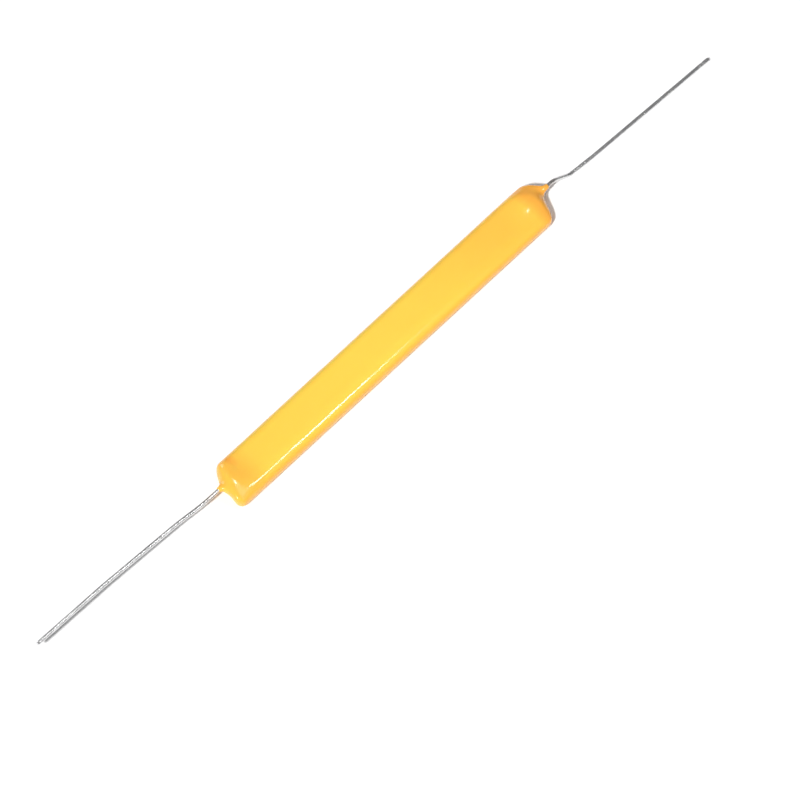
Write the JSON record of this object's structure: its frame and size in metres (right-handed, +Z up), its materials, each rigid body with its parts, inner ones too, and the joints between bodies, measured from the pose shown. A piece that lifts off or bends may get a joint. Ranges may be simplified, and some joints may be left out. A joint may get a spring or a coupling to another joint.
{
  "type": "high-voltage chip resistor",
  "caption": "Flat bar-shaped high-voltage thick-film resistor on a ceramic chip, dip-coated in glossy epoxy, with a thin wire lead drawn out of each end.",
  "frame": {"origin": "centre of the coat's flat underside, midway along the ceramic plate", "axes": "+X along the body towards the right lead, the one that steps down to the floor; +Y across the flat body, towards the side the leads are offset to; +Z up through its thickness, from the side it lies on to the printed side"},
  "size_m": [0.1313, 0.0068, 0.0039],
  "materials": {
    "epoxy_coat": "glossy dipped epoxy with a faint orange peel",
    "tinned_wire": "drawn and tinned, satin",
    "alumina": "fired, matt",
    "silver_pad": "fired silver film, satin",
    "resistor_film": "fired film, matt",
    "overglaze": "fired glaze, glossy",
    "solder": "wetted solder, bright"
  },
  "bodies": {
    "root": {"epoxy_coating": "epoxy_coat", "lead_left": "tinned_wire", "lead_right": "tinned_wire", "ceramic_substrate": "alumina", "termination_left": "silver_pad", "termination_right": "silver_pad", "resistive_track": "resistor_film", "glass_overglaze": "overglaze", "solder_left": "solder", "solder_right": "solder"}
  },
  "joints": []
}
